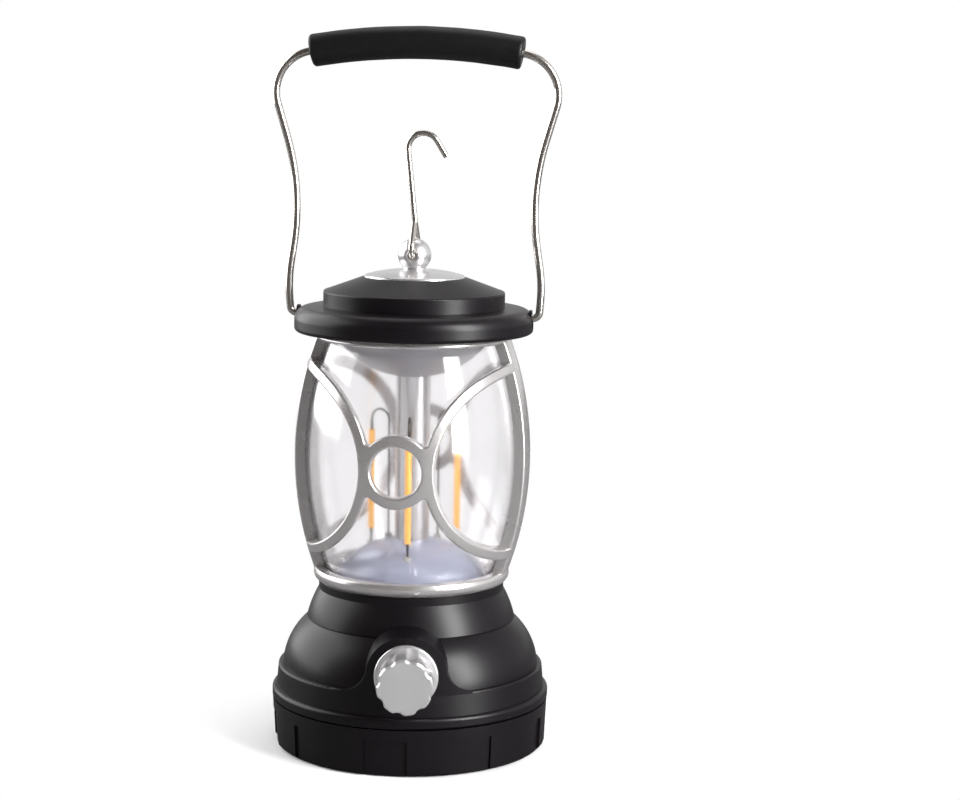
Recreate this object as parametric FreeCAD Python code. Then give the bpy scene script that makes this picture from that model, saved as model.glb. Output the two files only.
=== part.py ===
"""Camping lantern: three D cells in a domed base, filament lights in a guarded clear globe,
a stepped cap with a ball and hook, and a wire bail with a foam grip.

Millimetres. The origin is the centre of the face the lantern stands on, +Z is up, the front
is -Y and the bail turns about X. Pieces of the base are drawn with the knob at -Y and then
turned by BASE_TURN, because the base is screwed up a little past the guard's front ring.
"""
import FreeCAD
import Part
import math
import os

V = FreeCAD.Vector
ORIGIN = V(0, 0, 0)
UP = V(0, 0, 1)

# Fits
LOOSE = 0.3             # gap between pieces that only stand near each other
SLIDE = 0.1             # gap round a piece pushed into a hole
RUNNING = 0.05          # radial gap of a turning fit
WALL = 2.4              # moulded walls
BASE_TURN = 6.5         # degrees from the guard's ring to the knob

# Cells and their holder
CELL_COUNT = 3
CELL_DIAMETER = 33.0
CELL_LENGTH = 61.5
CELL_NUB_DIAMETER = 9.5
CELL_NUB_HEIGHT = 1.5
CELL_SPACE = 2.5        # between neighbouring cells
CELL_PLAY = 0.3         # round a cell in its tube
TUBE_WALL = 1.2
CHASSIS_PLATE = 2.3
CHASSIS_LIFT = 1.6      # chassis foot above the cells' lower ends
CONTACT_THICKNESS = 0.5
CONTACT_DIAMETER = 14.0
LEAF_RISE = 4.6
LEAF_WIDTH = 7.0
LEAF_LENGTH = 20.0
BOSS_DIAMETER = 8.0
BOSS_LENGTH = 18.0
BOSS_INSET = 6.4        # boss in from the chassis's edge

# Battery cover
COVER_HEIGHT = 20.9
COVER_FLOOR = 3.0
COVER_TAPER = 0.9
COVER_CHAMFER = 1.2
COVER_INSET = 0.2       # cover inside the lip above it
COVER_WALL = 2.3
SEAM = 0.3
PAD_COUNT = 10
PAD_STEP = 1.2
PAD_TOP = 15.6
PAD_PHASE = 9.7         # degrees from the knob to the next pad's middle
SPIGOT_LENGTH = 10.0
SPIGOT_GAP = 1.5        # room for the seal
SEAL_SECTION = 1.6
SEAL_DROP = 1.9         # below the seam
LUG_COUNT = 3
LUG_ANGLE = 12.0
LUG_HEIGHT = 3.0
LUG_LIFT = 2.6          # above the spigot's foot
LUG_ROOT = 0.6          # lug sunk into the cover's wall
TWIST = 35.0            # degrees from locked to free

# Base body
DECK = 3.0
RIM_HEIGHT = 4.0
RIM_ROUND = 0.6
NECK_HEIGHT = 13.3
NECK_ROOM = 1.4         # round the chassis
NECK_FLARE = 5.3
NECK_BULGE = 0.5
NECK_LIP = 0.7          # neck stands proud of the dome
DOME_HEIGHT = 21.6
DOME_SPREAD = 11.6
DOME_BULGE = 2.6
TIER_STEP = 2.1
TIER_ROUND = 1.0
TIER_FLARE = 0.8
LIP_STEP = 2.0
LIP_HEIGHT = 5.2
LIP_ROUND = 1.7
LIP_FOOT_ROUND = 1.0

# Knob and dimmer
KNOB_RISE = 8.0         # knob axis above the lower tier
KNOB_DIAMETER = 24.6
KNOB_REACH = 17.4
KNOB_LOBES = 8
KNOB_DIP = 1.0
KNOB_DIP_RADIUS = 3.6
KNOB_LOBE_ROUND = 1.6
KNOB_PHASE = 10.0       # degrees from a lobe straight below the axis
KNOB_CHAMFER = 0.8
FLANGE_DIAMETER = 28.2
FLANGE_THICKNESS = 2.2
FLANGE_ROUND = 0.9
FLANGE_GAP = 0.6        # round the flange in its recess
ARCH_MARGIN = 3.3       # boss face round the flange
ARCH_DRAFT = 2.4        # boss root wider than its face
ARCH_FLARE = 11.0       # root fillet into the lower tier
ARCH_DEPTH = 22.0
ARCH_SINK = 6.0
SPOT_FACE = 1.1
POT_DIAMETER = 16.5
POT_DEPTH = 9.0
BUSHING_DIAMETER = 7.0
BUSHING_LENGTH = 7.4
SHAFT_DIAMETER = 6.0
NUT_ACROSS = 10.0
NUT_HEIGHT = 2.0
KNOB_WALL = 2.2

# Driver board
BOARD_WIDTH = 34.0
BOARD_HEIGHT = 22.0
BOARD_THICKNESS = 1.6
BOARD_SPREAD = 10.0     # screws from the middle
BOARD_STAND = 7.0       # board behind the chassis
STAND_DIAMETER = 5.0
COIL_DIAMETER = 8.0
COIL_HEIGHT = 5.0
CAPACITOR_DIAMETER = 6.3
CHIP_SIZE = 5.0
CHIP_HEIGHT = 1.6

# Screws
SCREW_DIAMETER = 2.8
SCREW_HEAD = 5.2
SCREW_HEAD_HEIGHT = 1.8
SCREW_SKIN = 1.0        # past a screw's end
SCREW_BITE = 6.0        # thread in the chassis
SHORT_BITE = 2.4        # thread in thin pieces

# Guard and globe
GUARD_HEIGHT = 114.5    # from the deck to the cap's seat
GUARD_BULGE = 11.0
GUARD_DEPTH = 4.6
HOOP_OVERHANG = 0.3
HOOP_LOW = 5.8
HOOP_BULGE = 1.0        # lower hoop rounded out like a bead
HOOP_HIGH = 4.0
RIB_HALF_WIDTH = 11.0
RING_HOLE = 22.4
RING_BAND = 5.1
ARC_RADIUS = 44.0
ARC_BAND = 4.8
ARC_NEAR = 14.3         # arc's middle line from the ring's centre
HALF_SEAM = 0.1
GUARD_CORNER = 1.5      # window corners beside the ring
GUARD_ROUND = 1.0       # outer edges of the bars
GLOBE_WALL = 1.8
GASKET = 0.8

# Light
REFLECTOR_WALL = 1.2
LOWER_RISE = 18.5
LOWER_EDGE = 1.6
LOWER_BULGE = 3.7
UPPER_DROP = 21.0
UPPER_EDGE = 3.0
UPPER_BULGE = 3.5
POST_DIAMETER = 15.6
POST_WALL = 1.2
ROD_DIAMETER = 5.0
ROD_NUT_ACROSS = 8.0
ROD_NUT_HEIGHT = 3.0
FILAMENT_COUNT = 3
FILAMENT_PITCH = 23.0   # radius of the ring of filaments
FILAMENT_PHASE = 3.6    # degrees from the front, towards +X
FILAMENT_DIAMETER = 2.8
FILAMENT_LENGTH = 46.0
FILAMENT_LIFT = 20.5    # above the deck
RETURN_PITCH = 13.2     # radius of the return wires
WIRE_DIAMETER = 0.9
HAIRPIN_RISE = 5.0      # straight wire above a filament
SOCKET_DIAMETER = 3.4
SOCKET_PROUD = 1.6

# Cap
BRIM_OVERHANG = 11.4    # past the guard's upper hoop
BRIM_DROP = 1.0         # below the cap's seat
BRIM_HEIGHT = 11.0
BRIM_ROUND = 5.4
BRIM_FOOT_ROUND = 1.8
BRIM_CROWN = 0.5        # rise of the brim's top towards the crown
BRIM_PLATE = 3.0
SEAT_MARGIN = 1.4       # seat past the pieces it presses on
BRIM_LEDGE = 13.0       # crown set in from the brim's edge
CROWN_STEP = 7.0
CROWN_CONE = 6.2
DISC_MARGIN = 0.5       # crown's flat round the disc
CROWN_ROUND = 0.8
CAP_SCREWS = 3
DISC_RADIUS = 22.8
DISC_EDGE = 1.0
DISC_RISE = 2.4
DISC_BULGE = 0.6
BALL_DIAMETER = 15.0
BALL_LIFT = 6.5         # ball's centre above the disc
BALL_NECK = 10.0
BALL_MOUTH = 2.0        # depth of the flare at each end of the ball's bore
ROD_INTO_BALL = 3.0

# Hook
HOOK_WIRE = 2.6
EYE_CLEAR = 1.6         # eye's wire outside the ball
EYE_BEND = 3.0
EYE_SHOULDER = 1.8      # straight wire above the eye's bend
EYE_SHOULDER_BEND = 2.0
EYE_RISE = 7.1          # eye's top above the ball
HOOK_LEAN = 6.0         # degrees
SHANK_LENGTH = 32.4
HOOK_BEND = 7.0
HOOK_SWEEP = 154.0
HOOK_TAIL = 8.4

# Bail
BAIL_WIRE = 3.4
PIVOT_LIFT = 7.3        # above the brim's lower edge
PIVOT_LENGTH = 9.0      # straight end inside the brim
PIVOT_BEND = 2.8
EAR_WIDTH = 8.6
EAR_DEPTH = 1.7
BUSH_DIAMETER = 5.4
BUSH_FLANGE = 7.4
BUSH_FLANGE_THICKNESS = 1.2
PIVOT_BOSS = 9.4
BAIL_STAND_OFF = 2.6    # wire's middle line outside the brim
BAIL_LOW_OUT = 1.2
BAIL_LOW_RISE = 15.1
BAIL_LOW_BEND = 70.0
BAIL_WAIST_IN = 5.1
BAIL_WAIST_RISE = 55.7
BAIL_WAIST_BEND = 110.0
BAIL_CORNER_BEND = 18.5
BAIL_RUN = 0.4          # straight wire between the corner and the grip's curve
GRIP_DIAMETER = 14.6
GRIP_LENGTH = 95.0
GRIP_ARCH = 270.0
GRIP_RISE = 121.7       # grip's middle line above the pivot
GRIP_ROUND = 1.6
GRIP_LEAD = 0.4         # wire keeps the grip's curve this far outside it

# Heights
cells_z = COVER_FLOOR + LEAF_RISE + LOOSE
plate_z = cells_z + CELL_LENGTH + LOOSE + CONTACT_THICKNESS
deck_z = plate_z + CHASSIS_PLATE
base_top = deck_z + DECK
body_z = COVER_HEIGHT + SEAM
lip_top = body_z + LIP_HEIGHT
rim_z = base_top - RIM_HEIGHT
neck_z = rim_z - NECK_HEIGHT
tier_top = neck_z - DOME_HEIGHT
knob_z = tier_top + KNOB_RISE
spigot_z = body_z - SPIGOT_LENGTH
seat_z = base_top + GUARD_HEIGHT
belly_z = base_top + GUARD_HEIGHT / 2
brim_z = seat_z - BRIM_DROP
brim_top = brim_z + BRIM_HEIGHT
crown_z = brim_top + BRIM_CROWN
cone_z = crown_z + CROWN_STEP
crown_top = cone_z + CROWN_CONE
disc_top = crown_top + DISC_EDGE + DISC_RISE
ball_z = disc_top + BALL_LIFT
pivot_z = brim_z + PIVOT_LIFT
post_top = crown_z - BRIM_PLATE
rod_top = disc_top + ROD_INTO_BALL
nut_z = deck_z - ROD_NUT_HEIGHT
board_z = lip_top + BOARD_HEIGHT / 2
filament_z = base_top + FILAMENT_LIFT
filament_top = filament_z + FILAMENT_LENGTH

# Radii
cell_pitch = (CELL_DIAMETER + CELL_SPACE) / (2 * math.sin(math.pi / CELL_COUNT))
tube_radius = CELL_DIAMETER / 2 + CELL_PLAY + TUBE_WALL
chassis_radius = cell_pitch + tube_radius
rim_radius = chassis_radius + NECK_ROOM + WALL
neck_radius = rim_radius + NECK_FLARE
dome_top = neck_radius - NECK_LIP
dome_radius = dome_top + DOME_SPREAD
tier_radius = dome_radius + TIER_STEP
foot_radius = tier_radius + TIER_FLARE
lip_radius = foot_radius + LIP_STEP
cover_radius = lip_radius - COVER_INSET
cover_bore = cover_radius - COVER_WALL
spigot_radius = cover_bore - SPIGOT_GAP
cavity_radius = spigot_radius - WALL
hoop_radius = rim_radius + HOOP_OVERHANG
belly_radius = hoop_radius + GUARD_BULGE
belly_arc = ((GUARD_HEIGHT / 2) ** 2 + GUARD_BULGE ** 2) / (2 * GUARD_BULGE)
brim_radius = hoop_radius + BRIM_OVERHANG
globe_near = GUARD_DEPTH + LOOSE
globe_far = globe_near + GLOBE_WALL
boss_pitch = chassis_radius - BOSS_INSET - BOSS_DIAMETER / 2
board_y = chassis_radius + BOARD_STAND
spot_y = tier_radius - SPOT_FACE
pot_y = spot_y - WALL
knob_face = spot_y + LOOSE + FLANGE_THICKNESS + KNOB_REACH
arch_face = FLANGE_DIAMETER / 2 + ARCH_MARGIN
wire_x = brim_radius + BAIL_STAND_OFF
ear_face = brim_radius - EAR_DEPTH
rod_hole = ROD_DIAMETER / 2 + SLIDE
post_hole = POST_DIAMETER / 2 + SLIDE
clear_hole = SCREW_DIAMETER + 2 * SLIDE
pilot_hole = SCREW_DIAMETER + 2 * RUNNING


def barrel_radius(z, inset):
    """Radius of the barrel, inset from the guard's outer face."""
    rise = z - belly_z
    return belly_radius - belly_arc + math.sqrt((belly_arc - inset) ** 2 - rise ** 2)


globe_mouth = barrel_radius(base_top + GASKET, globe_far)
inner_radius = globe_mouth - LOOSE
seat_inner = inner_radius - REFLECTOR_WALL - SEAT_MARGIN
seat_outer = hoop_radius + SEAT_MARGIN
crown_radius = brim_radius - BRIM_LEDGE
crown_flat = DISC_RADIUS + DISC_MARGIN
cap_screw_pitch = seat_inner - SCREW_HEAD / 2 - SEAT_MARGIN


def edge_to(start, step):
    """An edge from a point to the next step, which is a point or an arc's middle and end."""
    if isinstance(step[0], tuple):
        middle, end = (V(r, 0, z) for r, z in step)
        return Part.Arc(start, middle, end).toShape(), end
    end = V(step[0], 0, step[1])
    return Part.LineSegment(start, end).toShape(), end


def outline(*steps):
    """A closed face in the XZ plane."""
    here = V(steps[0][0], 0, steps[0][1])
    edges = []
    for step in steps[1:]:
        edge, here = edge_to(here, step)
        edges.append(edge)
    start = edges[0].firstVertex().Point
    if not here.isEqual(start, 1e-6):
        edges.append(Part.LineSegment(here, start).toShape())
    return Part.Face(Part.Wire(edges))


def lathe(*steps, angle=360):
    """An outline of (radius, height) steps turned about the Z axis."""
    return outline(*steps).revolve(ORIGIN, UP, angle)


def ring(inner, outer, low, high, angle=360):
    return lathe((inner, low), (outer, low), (outer, high), (inner, high), angle=angle)


def rod(x, y, low, high, diameter):
    """An upright cylinder."""
    return Part.makeCylinder(diameter / 2, high - low, V(x, y, low))


def peg(height, near, far, diameter, x=0.0):
    """A cylinder along -Y, from one distance in front of the axis to another."""
    return Part.makeCylinder(diameter / 2, far - near, V(x, -near, height), V(0, -1, 0))


def hexagon(across, height):
    """A hexagonal prism on the origin, standing up Z."""
    radius = across / math.sqrt(3)
    corners = [V(radius * math.cos(math.radians(60 * k)), radius * math.sin(math.radians(60 * k)), 0)
               for k in range(7)]
    return Part.Face(Part.makePolygon(corners)).extrude(V(0, 0, height))


def screw(length):
    """A pan head screw, head up, the head's underside at the origin."""
    head = Part.makeCylinder(SCREW_HEAD / 2, SCREW_HEAD_HEIGHT)
    shank = Part.makeCylinder(SCREW_DIAMETER / 2, length, V(0, 0, -length))
    return head.fuse(shank)


def fused(shapes):
    first, *rest = shapes
    return first.fuse(rest).removeSplitter()


def around(shape, count, phase=0.0):
    """Copies of a shape round the Z axis."""
    copies = []
    for k in range(count):
        copy = shape.copy()
        copy.rotate(ORIGIN, UP, phase + 360.0 * k / count)
        copies.append(copy)
    return copies


def placed(shape, position, axis=None, angle=0.0):
    copy = shape.copy()
    if axis:
        copy.rotate(ORIGIN, axis, angle)
    copy.translate(position)
    return copy


def bowed(start, end, bulge):
    """An arc step between two outline points that bows to the right of its way by the bulge."""
    run, rise = end[0] - start[0], end[1] - start[1]
    share = bulge / math.hypot(run, rise)
    middle = ((start[0] + end[0]) / 2 + share * rise, (start[1] + end[1]) / 2 - share * run)
    return (middle, end)


def quarter(centre, radius, first):
    """An arc step of 90 degrees, counted from the first angle."""
    def point(angle):
        return (centre[0] + radius * math.cos(math.radians(angle)),
                centre[1] + radius * math.sin(math.radians(angle)))
    return (point(first + 45), point(first + 90))


def bent_wire(points, bends, diameter):
    """A round wire along straight runs, with a tangent arc of the given radius at each inner point."""
    edges = []
    here = points[0]
    for before, corner, after, bend in zip(points, points[1:], points[2:], bends):
        back = (before - corner).normalize()
        ahead = (after - corner).normalize()
        half = back.getAngle(ahead) / 2
        setback = bend / math.tan(half)
        start = corner + back * setback
        end = corner + ahead * setback
        middle = corner + (back + ahead).normalize() * (bend / math.sin(half) - bend)
        edges.append(Part.LineSegment(here, start).toShape())
        edges.append(Part.Arc(start, middle, end).toShape())
        here = end
    edges.append(Part.LineSegment(here, points[-1]).toShape())
    return swept(edges, diameter)


def swept(edges, diameter):
    """A round section carried along joined edges."""
    path = Part.Wire(edges)
    first = edges[0]
    start = first.valueAt(first.FirstParameter)
    section = Part.makeCircle(diameter / 2, start, first.tangentAt(first.FirstParameter))
    return path.makePipeShell([Part.Wire(section)], True, False)


def turned(shape):
    """A piece of the base, turned to where it ends up under the guard."""
    shape.rotate(ORIGIN, UP, BASE_TURN)
    return shape


# Base body

def dome_steps():
    """The outside of the base, from the spigot's seat up to the rim."""
    neck = (neck_radius, neck_z)
    return [
        (lip_radius - LIP_FOOT_ROUND, body_z),
        quarter((lip_radius - LIP_FOOT_ROUND, body_z + LIP_FOOT_ROUND), LIP_FOOT_ROUND, -90),
        (lip_radius, lip_top - LIP_ROUND),
        quarter((lip_radius - LIP_ROUND, lip_top - LIP_ROUND), LIP_ROUND, 0),
        (foot_radius, lip_top),
        (tier_radius, tier_top - TIER_ROUND),
        quarter((tier_radius - TIER_ROUND, tier_top - TIER_ROUND), TIER_ROUND, 0),
        (dome_radius, tier_top),
        bowed((dome_radius, tier_top), (dome_top, neck_z), DOME_BULGE),
        neck,
        bowed(neck, (rim_radius, rim_z), NECK_BULGE),
        (rim_radius, base_top - RIM_ROUND),
        quarter((rim_radius - RIM_ROUND, base_top - RIM_ROUND), RIM_ROUND, 0),
    ]


def arch_wire(distance, radius):
    """The knob boss's outline at a distance in front of the axis, with its flared foot."""
    reach = radius + ARCH_FLARE
    drop = ARCH_FLARE - KNOB_RISE
    spread = math.sqrt(reach ** 2 - drop ** 2)
    touch = V(spread * radius / reach, 0, knob_z + drop * radius / reach)
    flare_angle = (math.atan2(-drop, -spread) + math.radians(270) - 2 * math.pi) / 2
    flare = V(spread + ARCH_FLARE * math.cos(flare_angle), 0,
              tier_top + ARCH_FLARE + ARCH_FLARE * math.sin(flare_angle))
    foot = V(spread, 0, tier_top)
    low = V(spread, 0, tier_top - ARCH_SINK)

    def mirrored(p):
        return V(-p.x, p.y, p.z)

    edges = [
        Part.LineSegment(low, foot).toShape(),
        Part.Arc(foot, flare, touch).toShape(),
        Part.Arc(touch, V(0, 0, knob_z + radius), mirrored(touch)).toShape(),
        Part.Arc(mirrored(touch), mirrored(flare), mirrored(foot)).toShape(),
        Part.LineSegment(mirrored(foot), mirrored(low)).toShape(),
        Part.LineSegment(mirrored(low), low).toShape(),
    ]
    wire = Part.Wire(edges)
    wire.translate(V(0, -distance, 0))
    return wire


def arch_boss(shrink, radius):
    """The boss that carries the lower tier's surface up round the knob."""
    face = arch_wire(tier_radius, arch_face - shrink)
    root = arch_wire(tier_radius - ARCH_DEPTH, arch_face + ARCH_DRAFT - shrink)
    prism = Part.makeLoft([root, face], True, True)
    return prism.common(Part.makeCylinder(radius, base_top))


def base_cavity():
    """The room inside the base, open at the spigot's foot."""
    side = (cavity_radius, tier_top - WALL)
    shoulder = (dome_top - WALL, neck_z - WALL)
    room = lathe((0, spigot_z), (cavity_radius, spigot_z), side, bowed(side, shoulder, DOME_BULGE),
                 (rim_radius - WALL, rim_z), (rim_radius - WALL, deck_z), (0, deck_z))
    return room.fuse(arch_boss(WALL, spot_y - WALL))


def bayonet_slots():
    """Windows in the spigot that let the lugs in and hold them once turned."""
    low, high = spigot_z + LUG_LIFT - LOOSE, spigot_z + LUG_LIFT + LUG_HEIGHT + LOOSE
    play = math.degrees(LOOSE / spigot_radius)
    inner, outer = cavity_radius - LOOSE, spigot_radius + LOOSE
    window = ring(inner, outer, low, high, LUG_ANGLE + TWIST + 2 * play)
    window.rotate(ORIGIN, UP, -LUG_ANGLE / 2 - TWIST - play)
    entry = ring(inner, outer, spigot_z - LOOSE, high, LUG_ANGLE + 2 * play)
    entry.rotate(ORIGIN, UP, -LUG_ANGLE / 2 - TWIST - play)
    return around(window.fuse(entry), LUG_COUNT)


def seal_ring():
    middle = cover_bore - SLIDE - SEAL_SECTION / 2
    return Part.makeTorus(middle, SEAL_SECTION / 2, V(0, 0, body_z - SEAL_DROP))


def base_body():
    shell = lathe((0, spigot_z), (spigot_radius, spigot_z), (spigot_radius, body_z),
                  *dome_steps(), (0, base_top))
    shell = shell.fuse(arch_boss(0, tier_radius)).cut(base_cavity())
    cuts = bayonet_slots() + [seal_ring()]
    cuts.append(peg(knob_z, spot_y, spot_y + ARCH_DEPTH, FLANGE_DIAMETER + 2 * FLANGE_GAP))
    cuts.append(peg(knob_z, pot_y - POT_DEPTH, pot_y, POT_DIAMETER + 2 * LOOSE))
    cuts.append(peg(knob_z, pot_y - LOOSE, spot_y + LOOSE, BUSHING_DIAMETER + 2 * SLIDE))
    cuts.append(rod(0, 0, deck_z, base_top, 2 * rod_hole))
    hole = rod(0, -boss_pitch, deck_z, base_top, clear_hole)
    counterbore = rod(0, -boss_pitch, base_top - SCREW_HEAD_HEIGHT, base_top, SCREW_HEAD + 2 * SLIDE)
    return turned(shell.cut(cuts + around(hole, CELL_COUNT) + around(counterbore, CELL_COUNT)))


# Battery cover

def battery_cover():
    foot = cover_radius - COVER_TAPER
    cup = lathe((0, 0), (foot - COVER_CHAMFER, 0), (foot, COVER_CHAMFER), (cover_radius, COVER_HEIGHT),
                (cover_bore, COVER_HEIGHT), (cover_bore, COVER_FLOOR), (0, COVER_FLOOR))
    half_pad = 180.0 / PAD_COUNT
    dent = lathe((foot - PAD_STEP, -PAD_STEP), (lip_radius, -PAD_STEP), (lip_radius, PAD_TOP),
                 (cover_radius - PAD_STEP, PAD_TOP), angle=half_pad)
    dents = around(dent, PAD_COUNT, PAD_PHASE - 90 + half_pad / 2)
    pilot = rod(0, -boss_pitch, SCREW_SKIN, COVER_FLOOR, pilot_hole)
    low = spigot_z + LUG_LIFT
    lug = ring(cavity_radius, cover_bore + LUG_ROOT, low, low + LUG_HEIGHT, LUG_ANGLE)
    lugs = around(lug, LUG_COUNT, -LUG_ANGLE / 2)
    return turned(fused([cup.cut(dents + around(pilot, CELL_COUNT))] + lugs))


def cover_seal():
    return turned(seal_ring())


def cover_contacts():
    """The plate that joins the cells' lower ends."""
    plate = rod(0, 0, COVER_FLOOR, COVER_FLOOR + CONTACT_THICKNESS, 2 * (boss_pitch + SCREW_HEAD))
    hole = rod(0, -boss_pitch, 0, base_top, clear_hole)
    return turned(plate.cut(around(hole, CELL_COUNT)))


def contact_leaves():
    """A bent leaf on the plate under each cell."""
    low, high = COVER_FLOOR + CONTACT_THICKNESS, COVER_FLOOR + LEAF_RISE
    thick, half = CONTACT_THICKNESS, LEAF_LENGTH / 2
    tab = LEAF_LENGTH / 4
    upper = low + thick
    strip = outline((-half, low), (tab - half, low), (0, high - thick), (half - tab, upper), (half, upper),
                    (half, upper + thick), (half - tab, upper + thick), (0, high), (tab - half, upper),
                    (-half, upper))
    leaf = strip.extrude(V(0, LEAF_WIDTH, 0))
    leaf.translate(V(0, cell_pitch - LEAF_WIDTH / 2, 0))
    return turned(Part.makeCompound(around(leaf, CELL_COUNT)))


def contact_screws():
    seat = COVER_FLOOR + CONTACT_THICKNESS
    fastener = placed(screw(seat - SCREW_SKIN - LOOSE), V(0, -boss_pitch, seat))
    return turned(Part.makeCompound(around(fastener, CELL_COUNT)))


# Cells and chassis

def d_cells():
    shoulder = cells_z + CELL_LENGTH - CELL_NUB_HEIGHT
    can = rod(0, cell_pitch, cells_z, shoulder, CELL_DIAMETER)
    cell = can.fuse(rod(0, cell_pitch, shoulder, shoulder + CELL_NUB_HEIGHT, CELL_NUB_DIAMETER))
    return turned(Part.makeCompound(around(cell, CELL_COUNT)))


def board_pegs(near, far, diameter):
    """Two cylinders behind the chassis, where the board is screwed on."""
    return [peg(board_z, -far, -near, diameter, x) for x in (-BOARD_SPREAD, BOARD_SPREAD)]


def battery_chassis():
    foot = cells_z + CHASSIS_LIFT
    solids = [rod(0, 0, plate_z, deck_z, 2 * chassis_radius)]
    solids += around(rod(0, cell_pitch, foot, deck_z, 2 * tube_radius), CELL_COUNT)
    solids += around(rod(0, -boss_pitch, deck_z - BOSS_LENGTH, deck_z, BOSS_DIAMETER), CELL_COUNT)
    solids += board_pegs(cell_pitch, board_y, STAND_DIAMETER)
    bore = rod(0, cell_pitch, foot, plate_z, CELL_DIAMETER + 2 * CELL_PLAY)
    pilot = rod(0, -boss_pitch, deck_z - SCREW_BITE - SCREW_SKIN, deck_z, pilot_hole)
    recess = rod(0, 0, nut_z - LOOSE, deck_z, 2 * (ROD_NUT_ACROSS / math.sqrt(3) + LOOSE))
    cuts = around(bore, CELL_COUNT) + around(pilot, CELL_COUNT) + [recess]
    cuts += board_pegs(board_y - SHORT_BITE - SCREW_SKIN, board_y, pilot_hole)
    return turned(fused(solids).cut(cuts))


def cell_contacts():
    contact = rod(0, cell_pitch, plate_z - CONTACT_THICKNESS, plate_z, CONTACT_DIAMETER)
    return turned(Part.makeCompound(around(contact, CELL_COUNT)))


def chassis_screws():
    seat = base_top - SCREW_HEAD_HEIGHT
    fastener = placed(screw(seat - deck_z + SCREW_BITE), V(0, -boss_pitch, seat))
    return turned(Part.makeCompound(around(fastener, CELL_COUNT)))


# Driver board

def driver_board():
    corner = V(-BOARD_WIDTH / 2, board_y, board_z - BOARD_HEIGHT / 2)
    board = Part.makeBox(BOARD_WIDTH, BOARD_THICKNESS, BOARD_HEIGHT, corner)
    return turned(board.cut(board_pegs(board_y, board_y + BOARD_THICKNESS, clear_hole)))


def board_parts():
    """A coil, a capacitor and a chip on the board's rear face."""
    face = board_y + BOARD_THICKNESS
    low, high = board_z - BOARD_HEIGHT / 4, board_z + BOARD_HEIGHT / 4
    coil = peg(low, -face - COIL_HEIGHT, -face, COIL_DIAMETER)
    capacitor = peg(high, -face - COIL_HEIGHT, -face, CAPACITOR_DIAMETER)
    corner = V(BOARD_SPREAD - CHIP_SIZE / 2, face, low - CHIP_SIZE / 2)
    chip = Part.makeBox(CHIP_SIZE, CHIP_HEIGHT, CHIP_SIZE, corner)
    return turned(Part.makeCompound([coil, capacitor, chip]))


def board_screws():
    fastener = screw(BOARD_THICKNESS + SHORT_BITE)
    seats = [V(x, board_y + BOARD_THICKNESS, board_z) for x in (-BOARD_SPREAD, BOARD_SPREAD)]
    return turned(Part.makeCompound([placed(fastener, seat, V(1, 0, 0), -90) for seat in seats]))


# Dimmer and knob

def dimmer_pot():
    body = peg(knob_z, pot_y - POT_DEPTH, pot_y, POT_DIAMETER)
    bushing = peg(knob_z, pot_y, pot_y + BUSHING_LENGTH, BUSHING_DIAMETER)
    bore = peg(knob_z, pot_y - POT_DEPTH / 2, pot_y + BUSHING_LENGTH, SHAFT_DIAMETER + 2 * RUNNING)
    return turned(body.fuse(bushing).cut(bore).removeSplitter())


def pot_nut():
    nut = placed(hexagon(NUT_ACROSS, NUT_HEIGHT), V(0, -spot_y, knob_z), V(1, 0, 0), 90)
    return turned(nut.cut(peg(knob_z, 0, 2 * spot_y, BUSHING_DIAMETER + 2 * RUNNING)))


def pot_shaft():
    return turned(peg(knob_z, pot_y - POT_DEPTH / 2 + LOOSE, knob_face - KNOB_WALL - LOOSE, SHAFT_DIAMETER))


def edges_at(shape, distance):
    """The edges that lie at a distance in front of the axis."""
    return [edge for edge in shape.Edges if all(abs(v.Y + distance) < 1e-6 for v in edge.Vertexes)]


def knob():
    back = spot_y + LOOSE
    shoulder = back + FLANGE_THICKNESS
    grip = peg(knob_z, shoulder - FLANGE_THICKNESS / 2, knob_face, KNOB_DIAMETER)
    dip_pitch = KNOB_DIAMETER / 2 - KNOB_DIP + KNOB_DIP_RADIUS
    dips = []
    for k in range(KNOB_LOBES):
        angle = 2 * math.pi * (k + 0.5) / KNOB_LOBES + math.radians(KNOB_PHASE)
        x, rise = dip_pitch * math.cos(angle), dip_pitch * math.sin(angle)
        dips.append(peg(knob_z + rise, back, knob_face, 2 * KNOB_DIP_RADIUS, x))
    grip = grip.cut(dips)
    corners = [edge for edge in grip.Edges if edge.Length > KNOB_REACH]
    grip = grip.makeFillet(KNOB_LOBE_ROUND, corners)
    grip = grip.makeChamfer(KNOB_CHAMFER, edges_at(grip, knob_face))
    flange = peg(knob_z, back, shoulder, FLANGE_DIAMETER)
    flange = flange.makeFillet(FLANGE_ROUND, edges_at(flange, shoulder))
    core = KNOB_DIAMETER - 2 * (KNOB_DIP + KNOB_WALL)
    hollow = peg(knob_z, back, pot_y + BUSHING_LENGTH + 2 * LOOSE, core)
    bore = peg(knob_z, back, knob_face - KNOB_WALL, SHAFT_DIAMETER + 2 * RUNNING)
    return turned(grip.fuse(flange).cut([hollow, bore]).removeSplitter())


# Guard and globe

def barrel(near, far, low, high):
    """A barrel shell between two insets and two heights."""
    def corner(z, inset):
        return (barrel_radius(z, inset), z)
    return lathe(corner(low, far), corner(low, near), (corner(belly_z, near), corner(high, near)),
                 corner(high, far), (corner(belly_z, far), corner(low, far)))


def front_view(face):
    """A flat pattern in the XZ plane, carried through the front of the guard."""
    return face.extrude(V(0, -2 * belly_radius, 0))


def disc(x, radius):
    return Part.Face(Part.Wire(Part.makeCircle(radius, V(x, 0, belly_z), V(0, 1, 0))))


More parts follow.
